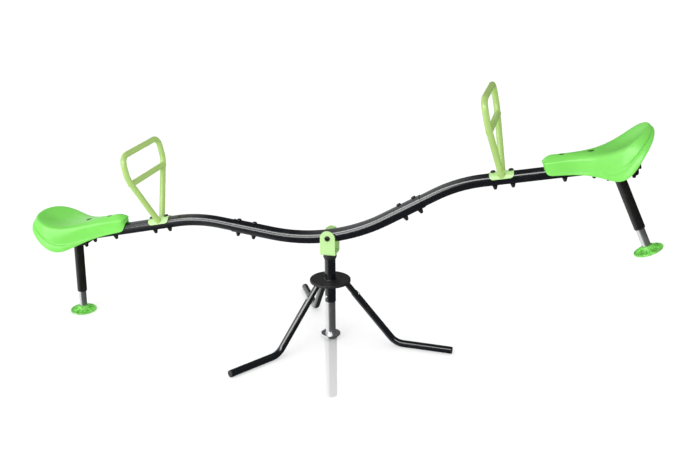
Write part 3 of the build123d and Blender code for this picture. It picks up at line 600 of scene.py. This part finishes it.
def seat_wells(end, side):
    """A well and its boss for each bolt, standing on the beam."""
    bm = bmesh.new()
    for bolt in SEAT_BOLTS:
        one = bmesh.new()
        foot = beam_axis(bolt[0]) + OUTER_R - bolt[1]
        spun(one, (
            (WELL_R, WELL_TOP), (BOSS_R - 0.0012, WELL_TOP), (BOSS_R - 0.0004, WELL_TOP - 0.0008),
            (BOSS_R, WELL_TOP - 0.0026), (BOSS_R, foot), (SHANK_HOLE_R, foot),
            (SHANK_HOLE_R, -WELL_DEPTH), (WELL_R - 0.0008, -WELL_DEPTH),
            (WELL_R, -WELL_DEPTH + 0.0008), (WELL_R, WELL_TOP),
        ), 40)
        add_to(bm, one, seat_bolt_frame(side, bolt))
    piece_from(bm, "seat_bolt_wells_" + end, "beam", GREEN, 40)


for END, SIDE in ENDS.items():
    make_seat(END, SIDE)
    seat_wells(END, SIDE)


# ------------------------------------------------------------------ feet

# radius and height of the disc's outline in millimetres, from its underside to the socket's floor
FOOT_OUTLINE = (
    (0, 0), (38.5, 0), (41.0, 0.6), (43.0, 2.4), (43.5, 4.6), (42.9, 6.3), (41.6, 7.0), (40.0, 6.7),
    (38.9, 5.4), (37.4, 4.9), (24, 6.4), (20.5, 7.8), (18.9, 10.2), (17.9, 16.5), (17.3, 18.9),
    (15.9, 19.9), (14.3, 19.6), (13.1, 18.2), (13.0, 4.2), (0, 4.0),
)
FOOT_RIBS = 12
RIB_INNER, RIB_OUTER = (0.0175, 0.0115), (0.0385, 0.0072)      # radius and height of each end
RIB_WIDTH, RIB_BOTTOM, RIB_ROUND = 0.0026, 0.003, 0.0007


def foot_disc(bm):
    """Disc with a collar for the plunger and ribs from it to the rim."""
    spun(bm, [(r / 1000, z / 1000) for r, z in FOOT_OUTLINE], 120)
    for number in range(FOOT_RIBS):
        rib = bmesh.new()
        bmesh.ops.create_cube(rib, size=1)
        for vert in rib.verts:
            far = vert.co.x > 0
            reach, top = RIB_OUTER if far else RIB_INNER
            vert.co = (reach, vert.co.y * RIB_WIDTH, top if vert.co.z > 0 else RIB_BOTTOM)
        bmesh.ops.bevel(
            rib, geom=rib.edges[:], offset=RIB_ROUND, offset_type="OFFSET", segments=2,
            profile=0.5, material=-1, affect="EDGES",
        )
        add_to(bm, rib, Matrix.Rotation(2 * pi * (number + 0.5) / FOOT_RIBS, 4, "Z"))


def make_foot(end, side):
    """One foot; the left one lies flat, and the right one mirrors it on the beam."""
    low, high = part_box("foot_left")
    stand = Matrix.Translation(((low[0] + high[0]) / 2, 0, low[2]))
    swing = on_the_beam(side) @ on_the_beam(-1).inverted()
    bm = bmesh.new()
    foot_disc(bm)
    foot = piece_from(
        bm, "foot_disc_" + end, "bumper_" + end, FOOT_GREEN, 40, swing @ stand
    )
    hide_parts("foot_" + end)


for END, SIDE in ENDS.items():
    make_foot(END, SIDE)


# ------------------------------------------------------------------ welds and small rings

RIPPLE_DEPTH = 0.14


def facing(direction):
    """Turn that points Z along a direction."""
    return Vector(direction).to_track_quat("Z", "Y").to_matrix().to_4x4()


def bead(bm, centre, axis, radius, thickness, ripples=26):
    """Rippled ring of weld round an axis."""
    one = bmesh.new()
    bmesh.ops.create_circle(one, segments=10, radius=thickness)
    bmesh.ops.rotate(one, verts=one.verts, matrix=Matrix.Rotation(pi / 2, 3, "X"))
    bmesh.ops.translate(one, verts=one.verts, vec=(radius, 0, 0))
    bmesh.ops.spin(
        one, geom=one.verts[:] + one.edges[:], cent=(0, 0, 0), axis=(0, 0, 1),
        angle=2 * pi, steps=4 * ripples, use_merge=True,
    )
    for vert in one.verts:
        spoke = Vector((vert.co.x, vert.co.y, 0)).normalized()
        turn = spoke.angle(Vector((1, 0, 0)))
        ring = spoke * radius
        vert.co = ring + (vert.co - ring) * (1 + RIPPLE_DEPTH * cos(turn * ripples))
    add_to(bm, one, Matrix.Translation(centre) @ facing(axis))


SMALL_BEAD, STUB_BEAD, LARGE_BEAD = 0.0013, 0.0015, 0.0016
BEAD_SEAT = 0.0004                                  # a bead's middle, off what it stands on
SLEEVE_BEAD_SEAT, MAST_BEAD_SEAT = 0.0006, 0.0005
HUB_RIPPLES = 40
HANDLE_U = 0.564
HANDLE_HALF_WIDTH, HANDLE_R, CROSSBAR_V = 0.130, 0.0095, 0.2815
HANDLE_FOOT_SPOT = (0.0165, 0.1280)                 # across and up, where a leg meets the saddle
HANDLE_LEAN = (0.548, 0.837)                        # its direction there


def handle_welds(end, side):
    """Beads at the crossbar's ends and where the loop stands on its saddle."""
    bm = bmesh.new()
    for hand in (-1, 1):
        spot = (HANDLE_U, hand * (HANDLE_HALF_WIDTH - HANDLE_R - 0.0006), CROSSBAR_V)
        bead(bm, spot, (0, 1, 0), HANDLE_R, SMALL_BEAD)
        spot = (HANDLE_U, hand * HANDLE_FOOT_SPOT[0], HANDLE_FOOT_SPOT[1])
        lean = (0, hand * HANDLE_LEAN[0], HANDLE_LEAN[1])
        bead(bm, spot, lean, HANDLE_R + BEAD_SEAT, LARGE_BEAD)
    piece_from(
        bm, "handle_welds_" + end, "beam", SHADED_HANDLE_LIME, 60, on_the_beam(side)
    )


LEG_AZIMUTHS = tuple(radians(a) for a in (236.2, 356.2, 118.7))
LEG_SLOPE = radians(48.5)
LEG_REACH, LEG_R = 0.400, 0.0111
STUB_R, STUB_TOP_R = 0.0095, 0.050
HUB_TOP, HUB_UNDER = 0.206, 0.202
SLEEVE_R, MAST_R, FLANGE_TOP = 0.0176, 0.016, 0.015
STUB_BEAD_DROP = 0.004                              # along the stub, from the hub's underside
PLUG_FACE = 0.0019                                  # end plug's face, past the leg's end
PLUG_FACE_OUTLINE = (
    (0, 0), (0.0104, 0), (0.0106, 0.0004), (0.0102, 0.0012), (0.0086, 0.0013),
    (0.0080, 0.0006), (0.0034, 0.0005), (0.0028, 0.0011), (0, 0.0012),
)


def post_welds():
    """Beads round the leg stubs, the sleeve at the hub, and the mast at the stake's flange."""
    bm = bmesh.new()
    for azimuth in LEG_AZIMUTHS:
        out = Vector((cos(azimuth), sin(azimuth), 0))
        down = out * cos(LEG_SLOPE) - Vector((0, 0, sin(LEG_SLOPE)))
        spot = out * STUB_TOP_R + Vector((0, 0, HUB_UNDER)) + down * STUB_BEAD_DROP
        bead(bm, spot, down, STUB_R + BEAD_SEAT, STUB_BEAD)
    for height in (HUB_TOP + BEAD_SEAT, HUB_UNDER - BEAD_SEAT):
        spot = (0, 0, height)
        bead(bm, spot, (0, 0, 1), SLEEVE_R + SLEEVE_BEAD_SEAT, LARGE_BEAD, HUB_RIPPLES)
    piece_from(bm, "hub_welds", "base", GLOSS_BLACK, 60)
    bm = bmesh.new()
    spot = (0, 0, FLANGE_TOP + 0.0003)
    bead(bm, spot, (0, 0, 1), MAST_R + MAST_BEAD_SEAT, SMALL_BEAD, HUB_RIPPLES)
    piece_from(bm, "stake_weld", "base", GALVANISED, 60)


def plug_rings():
    """Raised ring and middle on the face of each leg's end plug."""
    bm = bmesh.new()
    for azimuth in LEG_AZIMUTHS:
        out = Vector((cos(azimuth), sin(azimuth), 0))
        one = bmesh.new()
        spun(one, PLUG_FACE_OUTLINE, 48)
        face = out * (LEG_REACH + PLUG_FACE) + Vector((0, 0, LEG_R))
        add_to(bm, one, Matrix.Translation(face) @ facing(out))
    piece_from(bm, "leg_plug_faces", "base", BLACK_PLASTIC, 40)


for END, SIDE in ENDS.items():
    handle_welds(END, SIDE)
post_welds()
plug_rings()


# ------------------------------------------------------------------ stage, light and camera

FLOOR_HALF = 150.0
FLOOR_COVER = 0.72
SHEET_GLOW = 1.42
WORLD_LIGHT = 0.98
WORLD_REFLECTION = 0.07
SIDE_REFLECTION = 1.1
SIDE_FROM, SIDE_TO = -0.30, -0.60         # directions, by their X, where that side comes in
SHEET_DEPTH = -0.6
LIGHT_TARGET = (0, 0, 0.4)
CAMERA_PLACE = (0.7266, -2.6536, 1.366)
CAMERA_YAW, CAMERA_PITCH, CAMERA_ROLL = radians(13.98), radians(19.58), radians(-0.24)
LENS_MM, SENSOR_MM = 47.83, 36.0


def flat_stage(name, height, material):
    """Wide flat sheet that reflections don't see."""
    bm = bmesh.new()
    bmesh.ops.create_grid(bm, x_segments=1, y_segments=1, size=FLOOR_HALF)
    bmesh.ops.translate(bm, verts=bm.verts, vec=(0, 0, height))
    sheet = bpy.data.objects.new(name, bpy.data.meshes.new(name))
    bm.to_mesh(sheet.data)
    bm.free()
    sheet.data.materials.append(material)
    sheet.visible_glossy = False
    SCENE.collection.objects.link(sheet)


def stage_floor():
    """Milky pale floor over a lit white sheet, so that the buried stake shows faintly."""
    f = Finish("pale_floor", (0.93, 0.93, 0.93), 1.0)
    f.set("Specular IOR Level", 0.0)
    f.set("Alpha", FLOOR_COVER)
    flat_stage("floor", 0, f.material)
    g = Finish("white_sheet", (0.0, 0.0, 0.0), 1.0)
    g.set("Specular IOR Level", 0.0)
    g.set("Emission Color", (1, 1, 1, 1))
    g.set("Emission Strength", SHEET_GLOW)
    flat_stage("under_sheet", SHEET_DEPTH, g.material)


def soft_light(name, place, target, size, power, card=False):
    """Rectangular soft box at a place, facing a target; a card only shows in reflections."""
    light = bpy.data.lights.new(name, "AREA")
    light.shape = "RECTANGLE"
    light.size, light.size_y = size
    light.energy = power
    lamp = bpy.data.objects.new(name, light)
    lamp.location = place
    lamp.rotation_euler = (Vector(target) - Vector(place)).to_track_quat("-Z", "Y").to_euler()
    lamp.visible_diffuse = not card
    SCENE.collection.objects.link(lamp)


def studio_world():
    """White surroundings that light everything softly, and reflect dimly but for one side."""
    world = bpy.data.worlds.new("studio")
    world.use_nodes = True
    tree = world.node_tree

    def ramp(value, low, high, start, end):
        made = tree.nodes.new("ShaderNodeMapRange")
        tree.links.new(value, made.inputs["Value"])
        made.inputs["From Min"].default_value = low
        made.inputs["From Max"].default_value = high
        for name, number in (("To Min", start), ("To Max", end)):
            if isinstance(number, float):
                made.inputs[name].default_value = number
            else:
                tree.links.new(number, made.inputs[name])
        return made.outputs[0]

    paths = tree.nodes.new("ShaderNodeLightPath")
    direction = tree.nodes.new("ShaderNodeTexCoord")
    parts = tree.nodes.new("ShaderNodeSeparateXYZ")
    tree.links.new(direction.outputs["Generated"], parts.inputs[0])
    dim = ramp(parts.outputs["X"], SIDE_FROM, SIDE_TO, WORLD_REFLECTION, SIDE_REFLECTION)
    strength = ramp(paths.outputs["Is Glossy Ray"], 0, 1, WORLD_LIGHT, dim)
    background = tree.nodes["Background"]
    background.inputs["Color"].default_value = (1, 1, 1, 1)
    tree.links.new(strength, background.inputs["Strength"])
    SCENE.world = world


def studio_camera():
    """48 mm lens, a little to the right of the post and looking down at it."""
    lens = bpy.data.cameras.new("camera")
    lens.lens = LENS_MM
    lens.sensor_width = SENSOR_MM
    camera = bpy.data.objects.new("camera", lens)
    turn = (
        Matrix.Rotation(CAMERA_YAW, 3, "Z") @ Matrix.Rotation(pi / 2 - CAMERA_PITCH, 3, "X")
        @ Matrix.Rotation(CAMERA_ROLL, 3, "Z")
    )
    camera.matrix_world = Matrix.Translation(CAMERA_PLACE) @ turn.to_4x4()
    SCENE.collection.objects.link(camera)
    SCENE.camera = camera


stage_floor()
studio_world()
soft_light("key_softbox", (-1.5, -2.8, 1.0), LIGHT_TARGET, (1.6, 1.1), 34)
soft_light("top_card", (-0.4, -2.1, 2.2), LIGHT_TARGET, (4.2, 0.8), 88, card=True)
studio_camera()
SCENE.view_settings.view_transform = "Standard"
